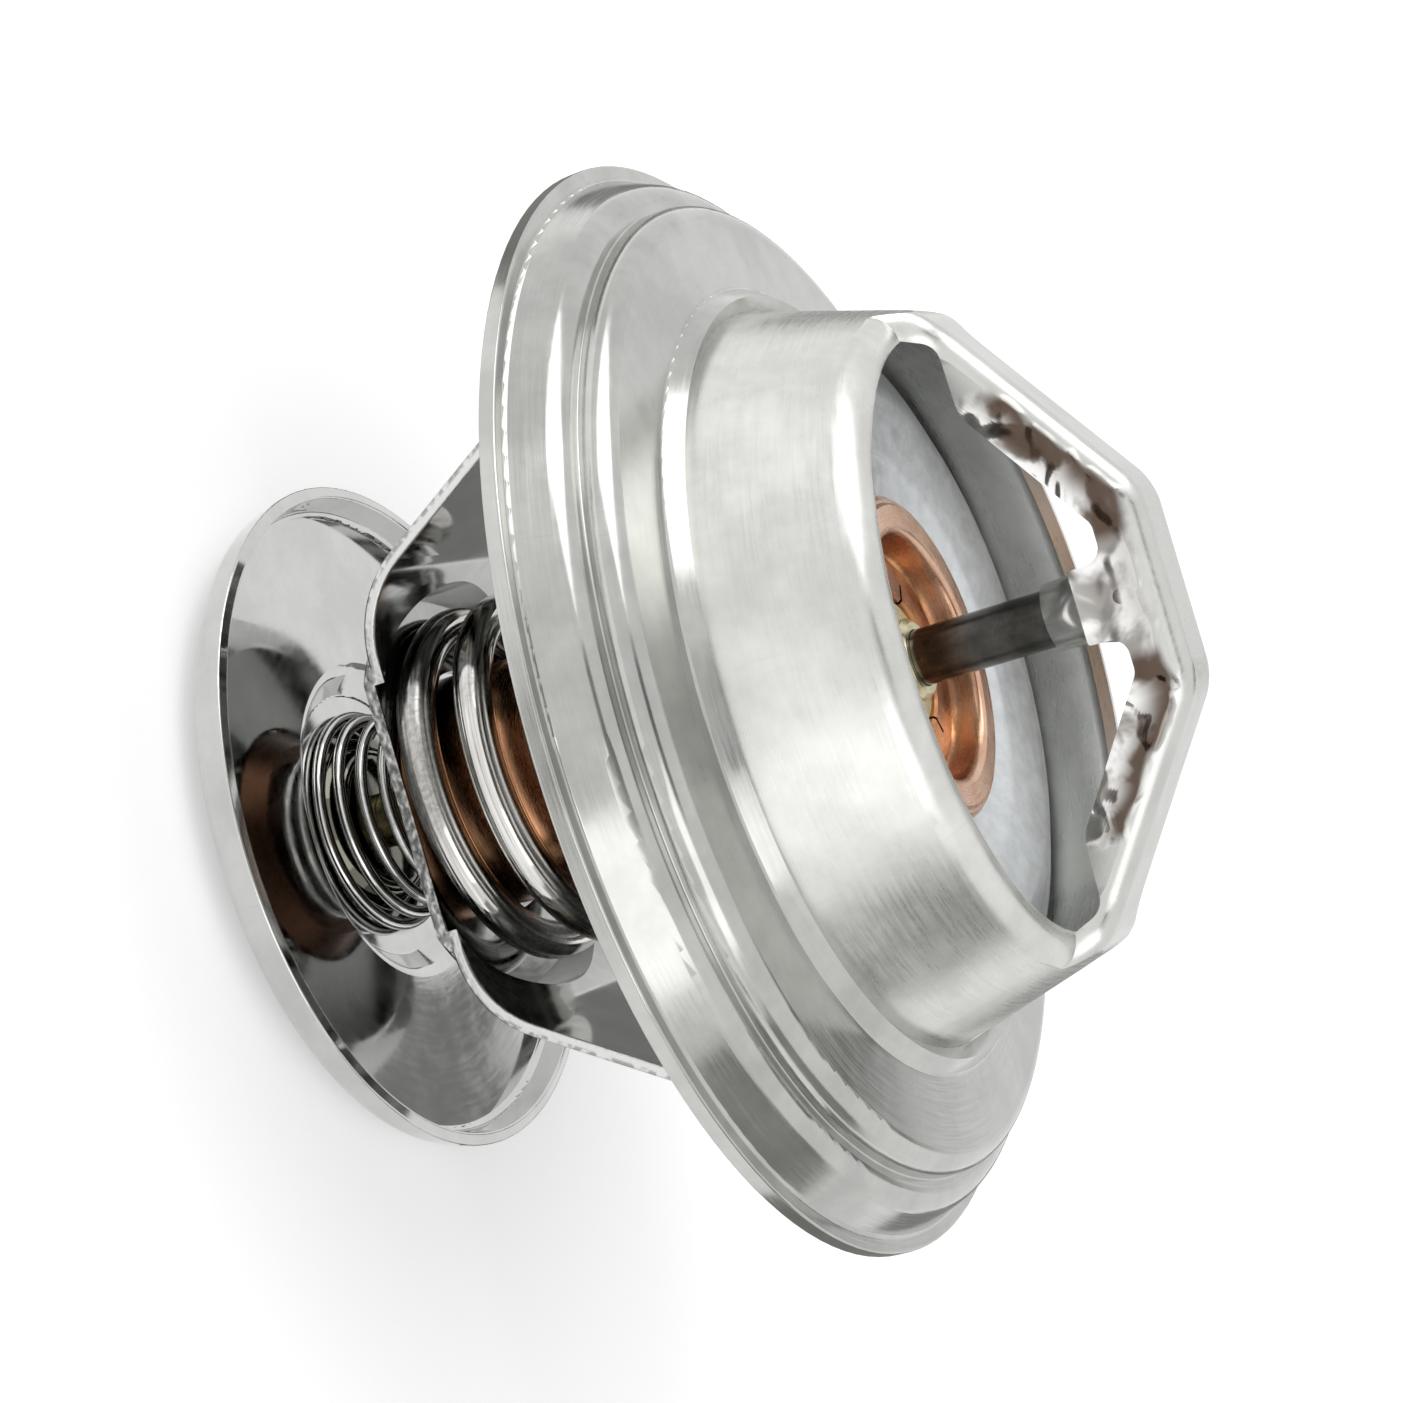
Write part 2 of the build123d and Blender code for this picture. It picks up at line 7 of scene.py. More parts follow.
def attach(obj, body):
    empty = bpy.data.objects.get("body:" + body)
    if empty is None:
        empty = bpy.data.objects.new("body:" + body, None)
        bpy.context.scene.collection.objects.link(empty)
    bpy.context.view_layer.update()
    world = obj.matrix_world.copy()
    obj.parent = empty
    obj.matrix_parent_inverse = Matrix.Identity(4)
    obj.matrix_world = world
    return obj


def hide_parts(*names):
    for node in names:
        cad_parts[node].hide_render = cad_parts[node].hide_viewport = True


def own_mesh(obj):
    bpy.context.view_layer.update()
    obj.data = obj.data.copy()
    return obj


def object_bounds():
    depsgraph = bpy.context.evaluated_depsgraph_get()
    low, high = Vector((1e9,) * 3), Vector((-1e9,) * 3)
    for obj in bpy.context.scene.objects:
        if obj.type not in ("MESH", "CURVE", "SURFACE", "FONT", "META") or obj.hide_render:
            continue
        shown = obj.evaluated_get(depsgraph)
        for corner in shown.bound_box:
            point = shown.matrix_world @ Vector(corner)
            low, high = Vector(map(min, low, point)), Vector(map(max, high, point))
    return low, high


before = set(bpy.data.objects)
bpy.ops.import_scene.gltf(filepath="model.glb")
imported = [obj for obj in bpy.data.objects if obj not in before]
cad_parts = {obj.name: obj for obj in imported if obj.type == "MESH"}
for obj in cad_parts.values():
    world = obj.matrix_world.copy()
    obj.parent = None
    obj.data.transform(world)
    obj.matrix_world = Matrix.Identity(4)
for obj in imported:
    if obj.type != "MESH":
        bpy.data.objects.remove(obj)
cad_low, cad_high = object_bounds()

# Flange plate. A ring of stainless sheet, pressed with a rounded shoulder, a raised
# step and a neck, and left with the satin of the polishing wheel, whose fine lines
# run round the axis. It keeps its pressed form and gets the turned satin finish.


def shader_of(material):
    """A material's Principled shader."""
    return material.node_tree.nodes["Principled BSDF"]


def new_material(name):
    """An empty node material and its Principled shader."""
    material = bpy.data.materials.new(name)
    material.use_nodes = True
    return material, shader_of(material)


def put(tree, kind, settings=None, **links_and_values):
    """A node, its properties, and its inputs set to plain values or linked to sockets."""
    node = tree.nodes.new(kind)
    for name, value in (settings or {}).items():
        setattr(node, name, value)
    for name, value in links_and_values.items():
        socket = node.inputs[int(name[1:])] if name[1:].isdigit() else node.inputs[name.replace("_", " ")]
        if isinstance(value, bpy.types.NodeSocket):
            tree.links.new(value, socket)
        else:
            socket.default_value = value
    return node


def calculate(tree, operation, first, second=0.0, third=0.0):
    """The result of one sum on values or sockets."""
    return put(tree, "ShaderNodeMath", {"operation": operation}, _0=first, _1=second, _2=third).outputs[0]


def ramp(tree, value, low, high, bottom=0.0, top=1.0):
    """A smooth change from bottom to top while a value goes from low to high."""
    settings = {"interpolation_type": "SMOOTHSTEP"}
    node = put(tree, "ShaderNodeMapRange", settings, Value=value, From_Min=low, From_Max=high)
    node.inputs["To Min"].default_value = bottom
    node.inputs["To Max"].default_value = top
    return node.outputs[0]


def noise(tree, place, a_metre, detail, **values):
    """Smooth random spots, so many a metre, as a value that changes over the surface."""
    node = put(tree, "ShaderNodeTexNoise", Vector=place, Scale=a_metre, Detail=detail, **values)
    return node.outputs["Fac"]


def mix_colours(tree, factor, first, second, blend="MIX"):
    """Two colours, plain or sockets, mixed by a factor."""
    settings = {"data_type": "RGBA", "blend_type": blend}
    return put(tree, "ShaderNodeMix", settings, _0=factor, _6=first, _7=second).outputs[2]


def mix_values(tree, factor, first, second):
    """Two values, plain or sockets, mixed by a factor."""
    return put(tree, "ShaderNodeMix", _0=factor, _2=first, _3=second).outputs[0]


def from_axis(tree, place):
    """A point's way out from the axis, as a vector and as a radius."""
    out = put(tree, "ShaderNodeVectorMath", {"operation": "MULTIPLY"}, _0=place, _1=(1, 1, 0)).outputs[0]
    radius = put(tree, "ShaderNodeVectorMath", {"operation": "LENGTH"}, _0=out).outputs["Value"]
    return out, radius


def new_group(name, inputs, outputs):
    """A shader node group with float inputs and outputs."""
    group = bpy.data.node_groups.new(name, "ShaderNodeTree")
    for label, value in inputs.items():
        socket = group.interface.new_socket(label, in_out="INPUT", socket_type="NodeSocketFloat")
        socket.default_value = value
    for label in outputs:
        group.interface.new_socket(label, in_out="OUTPUT", socket_type="NodeSocketFloat")
    start = group.nodes.new("NodeGroupInput")
    end = group.nodes.new("NodeGroupOutput")
    return group, start, end


def turned_lines_group():
    """Marks of polishing on the lathe: lines round the axis, clouds, short cross ticks."""
    group, start, end = new_group(
        "turned_lines", {"Fineness": 9000.0, "Arc": 5.0, "Cloud": 160.0}, ("Lines", "Clouds", "Ticks")
    )
    height_share = 1.3
    ticks_around = 150.0
    ticks_across = 260.0
    place = put(group, "ShaderNodeTexCoord").outputs["Object"]
    height = put(group, "ShaderNodeSeparateXYZ", _0=place).outputs["Z"]
    out, radius = from_axis(group, place)
    heading = put(group, "ShaderNodeVectorMath", {"operation": "NORMALIZE"}, _0=out).outputs[0]
    # a point's distance along the profile, near enough, and its place round the axis
    across = calculate(group, "ADD", radius, calculate(group, "MULTIPLY", height, height_share))
    arc = start.outputs["Arc"]
    around = put(group, "ShaderNodeVectorMath", {"operation": "SCALE"}, _0=heading, Scale=arc)
    lines = put(
        group,
        "ShaderNodeTexNoise",
        {"noise_dimensions": "4D"},
        Vector=around.outputs[0],
        W=calculate(group, "MULTIPLY", across, start.outputs["Fineness"]),
        Scale=1.0,
        Detail=2.0,
        Roughness=0.6,
    ).outputs["Fac"]
    clouds = noise(group, place, start.outputs["Cloud"], 4.0, Roughness=0.65)
    spokes = put(group, "ShaderNodeVectorMath", {"operation": "SCALE"}, _0=heading, Scale=ticks_around)
    ticks = put(
        group,
        "ShaderNodeTexNoise",
        {"noise_dimensions": "4D"},
        Vector=spokes.outputs[0],
        W=calculate(group, "MULTIPLY", across, ticks_across),
        Scale=1.0,
        Detail=1.0,
        Roughness=0.5,
    ).outputs["Fac"]
    # ticks are few, and only in the thicker clouds
    ticks = calculate(group, "MULTIPLY", ramp(group, ticks, 0.58, 0.72), ramp(group, clouds, 0.54, 0.64))
    group.links.new(lines, end.inputs["Lines"])
    group.links.new(clouds, end.inputs["Clouds"])
    group.links.new(ticks, end.inputs["Ticks"])
    return group


turned_lines = turned_lines_group()


def turned_metal(name, dark, light, smooth, rough, fineness, cloud, grain, depth):
    """Metal with a turned finish: tone, gloss and relief all follow its lines."""
    tick_grey = (0.16, 0.16, 0.15, 1)
    tick_strength = 0.08
    cloud_haze = 0.06
    line_height = 0.00002
    material, shader = new_material(name)
    tree = material.node_tree
    marks = put(tree, "ShaderNodeGroup", {"node_tree": turned_lines}, Fineness=fineness, Cloud=cloud)
    lines, clouds, ticks = (marks.outputs[label] for label in ("Lines", "Clouds", "Ticks"))
    tone = mix_colours(tree, ramp(tree, clouds, 0.3, 0.7), dark, light)
    tone = mix_colours(tree, grain, tone, lines, "MULTIPLY")
    tone = mix_colours(tree, calculate(tree, "MULTIPLY", ticks, tick_strength), tone, tick_grey)
    tree.links.new(tone, shader.inputs["Base Color"])
    lines_gloss = ramp(tree, lines, 0.3, 0.7, smooth, rough)
    gloss = calculate(tree, "ADD", lines_gloss, ramp(tree, clouds, 0.35, 0.75, 0, cloud_haze))
    tree.links.new(gloss, shader.inputs["Roughness"])
    relief = put(tree, "ShaderNodeBump", Strength=depth, Distance=line_height, Height=lines)
    tree.links.new(relief.outputs[0], shader.inputs["Normal"])
    shader.inputs["Metallic"].default_value = 1.0
    return material


def finish_node(name, material):
    """Gives a carried-over CAD node its finish in every slot, and evens its shading."""
    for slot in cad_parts[name].material_slots:
        slot.material = material
    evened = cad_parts[name].modifiers.new("even_shading", "WEIGHTED_NORMAL")
    evened.weight = 50


flange_steel = turned_metal(
    "flange_steel",
    dark=(0.45, 0.455, 0.435, 1),
    light=(0.58, 0.585, 0.56, 1),
    smooth=0.10,
    rough=0.20,
    fineness=7000,
    cloud=130,
    grain=0.12,
    depth=0.12,
)
finish_node("flange_plate", flange_steel)

# Bridge cage. One deep-drawn stamping of stainless sheet: brim, tapered collar, sill
# and the channel bridge over it. Outside it is satin, and where the tool folded the
# bridge's webs and squeezed out the piston's socket the metal is bright and hammered.
# The light and dark greys mottled over that bright metal are painted reflection, and
# the brown under the shoulders is partly the metal's tone, partly painted reflection.
cage_steel = turned_metal(
    "cage_steel",
    dark=(0.62, 0.62, 0.595, 1),
    light=(0.78, 0.78, 0.75, 1),
    smooth=0.24,
    rough=0.34,
    fineness=6000,
    cloud=140,
    grain=0.08,
    depth=0.15,
)


def hammered_group():
    """Small irregular dents, as metal has that was squeezed over a blunt tool, and a mottle that sets
    where painted reflection greys fall.
    """
    group, start, end = new_group("hammered", {"Dents a metre": 470.0}, ("Dents", "Stain"))
    warp_reach = 0.0022
    place = put(group, "ShaderNodeTexCoord").outputs["Object"]
    warp = put(group, "ShaderNodeTexNoise", Vector=place, Scale=260.0, Detail=1.0)
    shifted = put(group, "ShaderNodeVectorMath", {"operation": "MULTIPLY_ADD"}, _0=warp.outputs["Color"])
    shifted.inputs[1].default_value = (warp_reach, warp_reach, warp_reach)
    group.links.new(place, shifted.inputs[2])
    shifted = shifted.outputs[0]
    dents = noise(group, shifted, start.outputs["Dents a metre"], 1.0, Roughness=0.4, Distortion=0.3)
    stain = noise(group, shifted, 420.0, 3.0)
    group.links.new(dents, end.inputs["Dents"])
    group.links.new(ramp(group, stain, 0.42, 0.62), end.inputs["Stain"])
    return group


hammered = hammered_group()
bridge_crown = 0.0258
bridge_flat_half = 0.0059
bridge_fall = 0.707
bright_zone_end = 0.0137
socket_radius = 0.0040
soft_edge = 0.0008
web_start, web_full = 0.0009, 0.0016
sill_top, arm_foot = 0.0160, 0.0165
grey_start, grey_full = 0.0155, 0.0175
brown_full, brown_end = 0.0016, 0.0040
zone_fade = 0.001
edge_wander = 0.0012
dent_height = 0.00045
# painted reflection: the light and dark greys mottled over the bright zone
squeezed_light, squeezed_dark = (0.86, 0.86, 0.845, 1), (0.46, 0.45, 0.43, 1)
# partly the metal's own brown, partly painted reflection, under the shoulders
shoulder_brown = (0.09, 0.062, 0.045, 1)
bridge_grey = (0.5, 0.5, 0.485, 1)


def add_bright_webs(material):
    """Turns the folded webs and the socket from satin to bright hammered metal, with painted reflection in
    its colour.
    """
    shader = shader_of(material)
    tree = material.node_tree
    place = put(tree, "ShaderNodeSeparateXYZ", _0=put(tree, "ShaderNodeTexCoord").outputs["Object"])
    marks = put(tree, "ShaderNodeGroup", {"node_tree": hammered})
    dents, stain = marks.outputs["Dents"], marks.outputs["Stain"]
    # how far a point lies below the bridge's outline, which is flat and then falls away
    out = calculate(tree, "ABSOLUTE", place.outputs["X"])
    past_flat = calculate(tree, "MAXIMUM", calculate(tree, "SUBTRACT", out, bridge_flat_half), 0.0)
    crown = calculate(tree, "MULTIPLY_ADD", past_flat, -bridge_fall, bridge_crown)
    depth = calculate(tree, "SUBTRACT", crown, place.outputs["Z"])
    uneven = calculate(tree, "MULTIPLY_ADD", dents, edge_wander, -edge_wander / 2)
    depth = calculate(tree, "ADD", depth, uneven)
    below_crown = ramp(tree, depth, web_start, web_full)
    out_unevenly = calculate(tree, "ADD", out, uneven)
    before_root = ramp(tree, out_unevenly, bright_zone_end, bright_zone_end - zone_fade)
    above_sill = ramp(tree, place.outputs["Z"], sill_top, arm_foot)
    sideways = calculate(tree, "MULTIPLY", place.outputs["Y"], place.outputs["Y"])
    radius = calculate(tree, "SQRT", calculate(tree, "MULTIPLY_ADD", out, out, sideways))
    near_pin = ramp(tree, radius, socket_radius + soft_edge, socket_radius)
    above_sill = calculate(tree, "MAXIMUM", above_sill, near_pin)
    bright = calculate(tree, "MULTIPLY", calculate(tree, "MULTIPLY", below_crown, before_root), above_sill)
    # partly the metal's brown tone, partly painted brown reflection, just under the bridge's shoulders,
    # less on the socket
    smudged = calculate(tree, "MULTIPLY_ADD", stain, -edge_wander, depth)
    browned = ramp(tree, smudged, brown_end, brown_full, 0.10, 0.98)
    browned = calculate(tree, "MULTIPLY", browned, calculate(tree, "MULTIPLY_ADD", near_pin, -0.6, 1.0))
    # painted reflection: light and dark greys, mottled
    squeezed = mix_colours(tree, stain, squeezed_light, squeezed_dark)
    bright_tone = mix_colours(tree, browned, squeezed, shoulder_brown)
    bright_gloss = calculate(tree, "MULTIPLY_ADD", near_pin, 0.1, ramp(tree, stain, 0, 1, 0.08, 0.16))
    # outside, the bridge is a little darker than the collar
    greyed = ramp(tree, place.outputs["Z"], grey_start, grey_full, 0, 0.45)
    satin_tone = shader.inputs["Base Color"].links[0].from_socket
    satin_tone = mix_colours(tree, greyed, satin_tone, bridge_grey)
    tree.links.new(mix_colours(tree, bright, satin_tone, bright_tone), shader.inputs["Base Color"])
    satin_gloss = shader.inputs["Roughness"].links[0].from_socket
    tree.links.new(mix_values(tree, bright, satin_gloss, bright_gloss), shader.inputs["Roughness"])
    # the socket's dents are a little shallower than the webs'
    deep = calculate(tree, "MULTIPLY_ADD", near_pin, -0.25, 1.0)
    heavy = calculate(tree, "MULTIPLY", calculate(tree, "MULTIPLY", dents, deep), bright)
    relief = shader.inputs["Normal"].links[0].from_socket
    dented = put(tree, "ShaderNodeBump", Strength=0.7, Distance=dent_height, Height=heavy, Normal=relief)
    tree.links.new(dented.outputs[0], shader.inputs["Normal"])


add_bright_webs(cage_steel)
finish_node("bridge_cage", cage_steel)

# Stirrup. One strap of bright stainless sheet, bent to a cradle with a round pocket
# for the spring, and welded under the cage's brim. Its faces are mirror bright, and
# its long edges show the torn grain of shearing.
strap_steel = turned_metal(
    "strap_steel",
    dark=(0.36, 0.365, 0.355, 1),
    light=(0.44, 0.445, 0.43, 1),
    smooth=0.05,
    rough=0.09,
    fineness=2500,
    cloud=200,
    grain=0.05,
    depth=0.05,
)
strap_half_width = 0.0104
edge_start, edge_full = 0.00022, 0.00008
burnish_end, torn_start = 0.0003, 0.0005
strap_floor = -0.0194
strap_corner = 0.0125
leg_rise = 0.862
leg_run = 0.507
inner_bend = 0.005
torn_height = 0.0001
burnished_grey, torn_grey = (0.66, 0.66, 0.65, 1), (0.34, 0.34, 0.33, 1)
edge_gloss = 0.25


def add_sheared_edges(material):
    """A bright burnished line and a dull torn band on the strap's two long edges."""
    shader = shader_of(material)
    tree = material.node_tree
    place = put(tree, "ShaderNodeTexCoord").outputs["Object"]
    parts = put(tree, "ShaderNodeSeparateXYZ", _0=place)
    side = calculate(tree, "ABSOLUTE", parts.outputs["Y"])
    edge = ramp(tree, side, strap_half_width - edge_start, strap_half_width - edge_full)
    # how far a point lies behind the strap's inner face, at the floor or at a leg
    below = calculate(tree, "SUBTRACT", strap_floor, parts.outputs["Z"])
    out = calculate(tree, "SUBTRACT", calculate(tree, "ABSOLUTE", parts.outputs["X"]), strap_corner)
    behind = calculate(tree, "MULTIPLY_ADD", out, leg_rise, calculate(tree, "MULTIPLY", below, leg_run))
    depth = calculate(tree, "SMOOTH_MAX", below, behind, inner_bend)
    beads = noise(tree, place, 1900.0, 1.0)
    past_burnish = ramp(tree, depth, burnish_end, torn_start)
    dull = calculate(tree, "MULTIPLY", past_burnish, ramp(tree, beads, 0.4, 0.6))
    torn = mix_colours(tree, dull, burnished_grey, torn_grey)
    tone = shader.inputs["Base Color"].links[0].from_socket
    tree.links.new(mix_colours(tree, edge, tone, torn), shader.inputs["Base Color"])
    gloss = shader.inputs["Roughness"].links[0].from_socket
    tree.links.new(mix_values(tree, edge, gloss, edge_gloss), shader.inputs["Roughness"])
    height = calculate(tree, "MULTIPLY", beads, edge)
    relief = shader.inputs["Normal"].links[0].from_socket
    beaded = put(tree, "ShaderNodeBump", Strength=0.5, Distance=torn_height, Height=height, Normal=relief)
    tree.links.new(beaded.outputs[0], shader.inputs["Normal"])


add_sheared_edges(strap_steel)
finish_node("stirrup", strap_steel)

# Piston. A ground and hardened pin, pressed into the bridge's socket. It is dark
# grey, with the fine round lines of grinding.
piston_steel = turned_metal(
    "piston_steel",
    dark=(0.15, 0.145, 0.135, 1),
    light=(0.27, 0.26, 0.24, 1),
    smooth=0.12,
    rough=0.24,
    fineness=14000,
    cloud=380,
    grain=0.25,
    depth=0.25,
)
finish_node("piston", piston_steel)

# Main valve. A dished plate of bright sheet with a faint blue cast, rolled fast
# under the copper cup's lip. It is finely pickled, so it looks frosted.
valve_steel = turned_metal(
    "valve_steel",
    dark=(0.64, 0.66, 0.67, 1),
    light=(0.76, 0.78, 0.795, 1),
    smooth=0.38,
    rough=0.50,
    fineness=8000,
    cloud=900,
    grain=0.08,
    depth=0.12,
)
finish_node("main_valve", valve_steel)

# Wax element. A drawn copper cup. The lip folded over the valve plate is pink and
# satin; the groove and the slit ledge inside it are darkened with painted shade, the
# wall below the valve is made more orange with a painted reflection, and the lower
# end is brown, partly tarnish and partly painted reflection.
copper = turned_metal(
    "copper",
    dark=(0.66, 0.38, 0.25, 1),
    light=(0.80, 0.54, 0.40, 1),
    smooth=0.18,
    rough=0.30,
    fineness=9000,
    cloud=300,
    grain=0.12,
    depth=0.15,
)
lip_inner_radius, groove_radius = 0.0078, 0.0070
groove_foot, groove_top = 0.0070, 0.0078
wall_top, wall_full = 0.0060, 0.0050
brown_top, brown_foot = -0.0165, -0.0195
# painted shade: the dark and light brown of the groove inside the lip
groove_dark, groove_light = (0.20, 0.06, 0.02, 1), (0.62, 0.28, 0.09, 1)
# painted reflection: the orange of the wall below the valve
wall_orange = (0.98, 0.46, 0.22, 1)
# partly tarnish, partly painted reflection: the brown of the cup's lower end
end_brown = (0.10, 0.05, 0.03, 1)


def add_heat_tint(material):
    """Paints shade inside the lip and an orange reflection on the wall, and browns the cup's lower end
    with tarnish and painted reflection.
    """
    shader = shader_of(material)
    tree = material.node_tree
    place = put(tree, "ShaderNodeTexCoord").outputs["Object"]
    height = put(tree, "ShaderNodeSeparateXYZ", _0=place).outputs["Z"]
    _, radius = from_axis(tree, place)
    cloud = noise(tree, place, 350.0, 3.0)
    # painted shade in the groove and on the slit ledge inside the lip
    within_lip = ramp(tree, radius, lip_inner_radius, groove_radius)
    inside = calculate(tree, "MULTIPLY", within_lip, ramp(tree, height, groove_foot, groove_top))
    tint = mix_colours(tree, ramp(tree, cloud, 0.35, 0.65), groove_dark, groove_light)
    tone = shader.inputs["Base Color"].links[0].from_socket
    tone = mix_colours(tree, calculate(tree, "MULTIPLY", inside, 0.85), tone, tint)
    # painted reflection: the wall below the valve is made more orange
    warmed = calculate(tree, "MULTIPLY", ramp(tree, height, wall_top, wall_full), 0.8)
    tone = mix_colours(tree, warmed, tone, wall_orange)
    # the lower end browned: partly tarnish, partly painted reflection
    browned = ramp(tree, height, brown_top, brown_foot)
    tree.links.new(mix_colours(tree, browned, tone, end_brown), shader.inputs["Base Color"])


add_heat_tint(copper)
finish_node("element_cup", copper)

# Guide. A turned plug of pale brass under the crimp, with a boss and a collar round
# the piston.
brass = turned_metal(
    "brass",
    dark=(0.66, 0.58, 0.33, 1),
    light=(0.86, 0.80, 0.56, 1),
    smooth=0.20,
    rough=0.36,
    fineness=9000,
    cloud=500,
    grain=0.2,
    depth=0.2,
)
finish_node("piston_guide", brass)

# Inside the cup: a white backup ring, the moulded rubber boot and the wax, a paste
# of wax and copper powder. They are shut in, and each has its own plain stuff.


def speckled(name, dark, light, grains, roughness):
    """A dull stuff with a fine grain, so many grains a metre."""
    grain_height = 0.00005
    material, shader = new_material(name)
    tree = material.node_tree
    place = put(tree, "ShaderNodeTexCoord").outputs["Object"]
    grain = noise(tree, place, grains, 4.0)
    tone = mix_colours(tree, ramp(tree, grain, 0.35, 0.65), dark, light)
    tree.links.new(tone, shader.inputs["Base Color"])
    relief = put(tree, "ShaderNodeBump", Strength=0.3, Distance=grain_height, Height=grain)
    tree.links.new(relief.outputs[0], shader.inputs["Normal"])
    shader.inputs["Roughness"].default_value = roughness
    return material


white_plastic = speckled(
    "backup_plastic", dark=(0.74, 0.74, 0.71, 1), light=(0.84, 0.84, 0.81, 1), grains=900, roughness=0.45
)
finish_node("backup_ring", white_plastic)
black_rubber = speckled(
    "boot_rubber", dark=(0.018, 0.018, 0.018, 1), light=(0.04, 0.04, 0.04, 1), grains=1500, roughness=0.7
)
finish_node("rubber_boot", black_rubber)
wax_paste = speckled(
    "wax_paste", dark=(0.52, 0.30, 0.16, 1), light=(0.72, 0.52, 0.34, 1), grains=2500, roughness=0.6
)
finish_node("wax_charge", wax_paste)

# Main spring. Heavy round wire, nearly seven turns with the ends wound flat, drawn
# bright: streaks run along the wire, and in places its skin is grey and speckled.
# It sits in the stirrup's pocket, and goes with the housing as one rigid piece.


def coil_points(turns, start, foot_radius, head_radius, foot_z, head_z, wire):
    """Centre line of a spring whose ends are wound flat, in metres."""
    steps_a_turn = 72
    flat_turns = 0.35
    seat_gap = 0.00004
    closed_rise = 1.04 * wire
    steps = round(turns * steps_a_turn)
    rise = head_z - foot_z - wire - 2 * seat_gap
    open_rise = (rise - 2 * closed_rise) / (turns - 2)
    points = []
    height = foot_z + wire / 2 + seat_gap
    for step in range(steps + 1):
        turn = step / steps_a_turn
        angle = 2 * pi * (turn + start)
        radius = foot_radius + (head_radius - foot_radius) * step / steps
        points.append(Vector((radius * cos(angle), radius * sin(angle), height)))
        from_end = min(turn, turns - turn - 1 / steps_a_turn)
        if from_end < flat_turns:
            pitch = 0
        elif from_end < 1:
            pitch = closed_rise / (1 - flat_turns)
        else:
            pitch = open_rise
        height += pitch / steps_a_turn
    return points


def wound_wire(name, points, wire, sides):
    """A round wire swept along its points, with cut ends and lengthwise coordinates."""
    shape = bmesh.new()
    layer = shape.loops.layers.uv.new("along")
    rings = []
    lengths = [0.0]
    for index, point in enumerate(points):
        before = points[max(index - 1, 0)]
        after = points[min(index + 1, len(points) - 1)]
        along = (after - before).normalized()
        outward = Vector((point.x, point.y, 0)).normalized()
        upward = along.cross(outward).normalized()
        outward = upward.cross(along)
        if index:
            lengths.append(lengths[-1] + (point - before).length)
        ring = []
        for side in range(sides):
            angle = 2 * pi * side / sides
            ring.append(shape.verts.new(point + wire / 2 * (cos(angle) * outward + sin(angle) * upward)))
        rings.append(ring)
    for index in range(len(rings) - 1):
        first, second = rings[index], rings[index + 1]
        for side in range(sides):
            other = (side + 1) % sides
            face = shape.faces.new((first[side], first[other], second[other], second[side]))
            face.smooth = True
            corners = ((index, side), (index, side + 1), (index + 1, side + 1), (index + 1, side))
            for loop, (ring, place) in zip(face.loops, corners):
                loop[layer].uv = (lengths[ring], place / sides)
    shape.faces.new(reversed(rings[0]))
    shape.faces.new(rings[-1])
    bmesh.ops.recalc_face_normals(shape, faces=shape.faces)
    mesh = bpy.data.meshes.new(name)
    shape.to_mesh(mesh)
    shape.free()
    piece = bpy.data.objects.new(name, mesh)
    bpy.context.scene.collection.objects.link(piece)
    return piece


def wire_steel(name, dark, light, dull, streaks, patches, inner_edge, outer_edge):
    """Drawn wire: streaks along it, dull grey patches, and painted shade on the coil's inner side."""
    streaks_along = 90.0
    streak_height = 0.00004
    # painted shade for the wire's side that faces into the coil
    inner_dark = (0.09, 0.085, 0.08, 1)
    skin_dark, skin_light = (0.16, 0.16, 0.15, 1), (0.36, 0.36, 0.345, 1)
    material, shader = new_material(name)
    tree = material.node_tree
    along = put(tree, "ShaderNodeUVMap", {"uv_map": "along"}).outputs["UV"]
    place = put(tree, "ShaderNodeTexCoord").outputs["Object"]
    parts = put(tree, "ShaderNodeSeparateXYZ", _0=along)
    turn = calculate(tree, "MULTIPLY", parts.outputs["Y"], 2 * pi)
    # the two ends of the way round the wire meet, so the streaks have no seam
    round_wire = put(
        tree,
        "ShaderNodeCombineXYZ",
        X=calculate(tree, "MULTIPLY", calculate(tree, "COSINE", turn), streaks),
        Y=calculate(tree, "MULTIPLY", calculate(tree, "SINE", turn), streaks),
        Z=calculate(tree, "MULTIPLY", parts.outputs["X"], streaks_along),
    ).outputs[0]
    drawn = noise(tree, round_wire, 1.0, 3.0, Roughness=0.6)
    grain = noise(tree, place, 3200.0, 1.0)
    worn = calculate(tree, "MULTIPLY", ramp(tree, noise(tree, place, patches, 2.0), 0.60, 0.68), dull)
    # painted shade: the wire keeps its drawn tone on the coil's outside, and its inner side, facing into
    # the coil, is painted dark
    outside = ramp(tree, calculate(tree, "COSINE", turn), inner_edge, outer_edge)
    drawn_tone = mix_colours(tree, ramp(tree, drawn, 0.35, 0.65), dark, light)
    tone = mix_colours(tree, outside, inner_dark, drawn_tone)
    skin = mix_colours(tree, ramp(tree, grain, 0.40, 0.60), skin_dark, skin_light)
    tree.links.new(mix_colours(tree, worn, tone, skin), shader.inputs["Base Color"])
    gloss = calculate(tree, "MULTIPLY_ADD", worn, 0.3, ramp(tree, drawn, 0.3, 0.7, 0.06, 0.13))
    tree.links.new(gloss, shader.inputs["Roughness"])
    relief = put(tree, "ShaderNodeBump", Strength=0.15, Distance=streak_height, Height=drawn)
    tree.links.new(relief.outputs[0], shader.inputs["Normal"])
    shader.inputs["Metallic"].default_value = 1.0
    return material


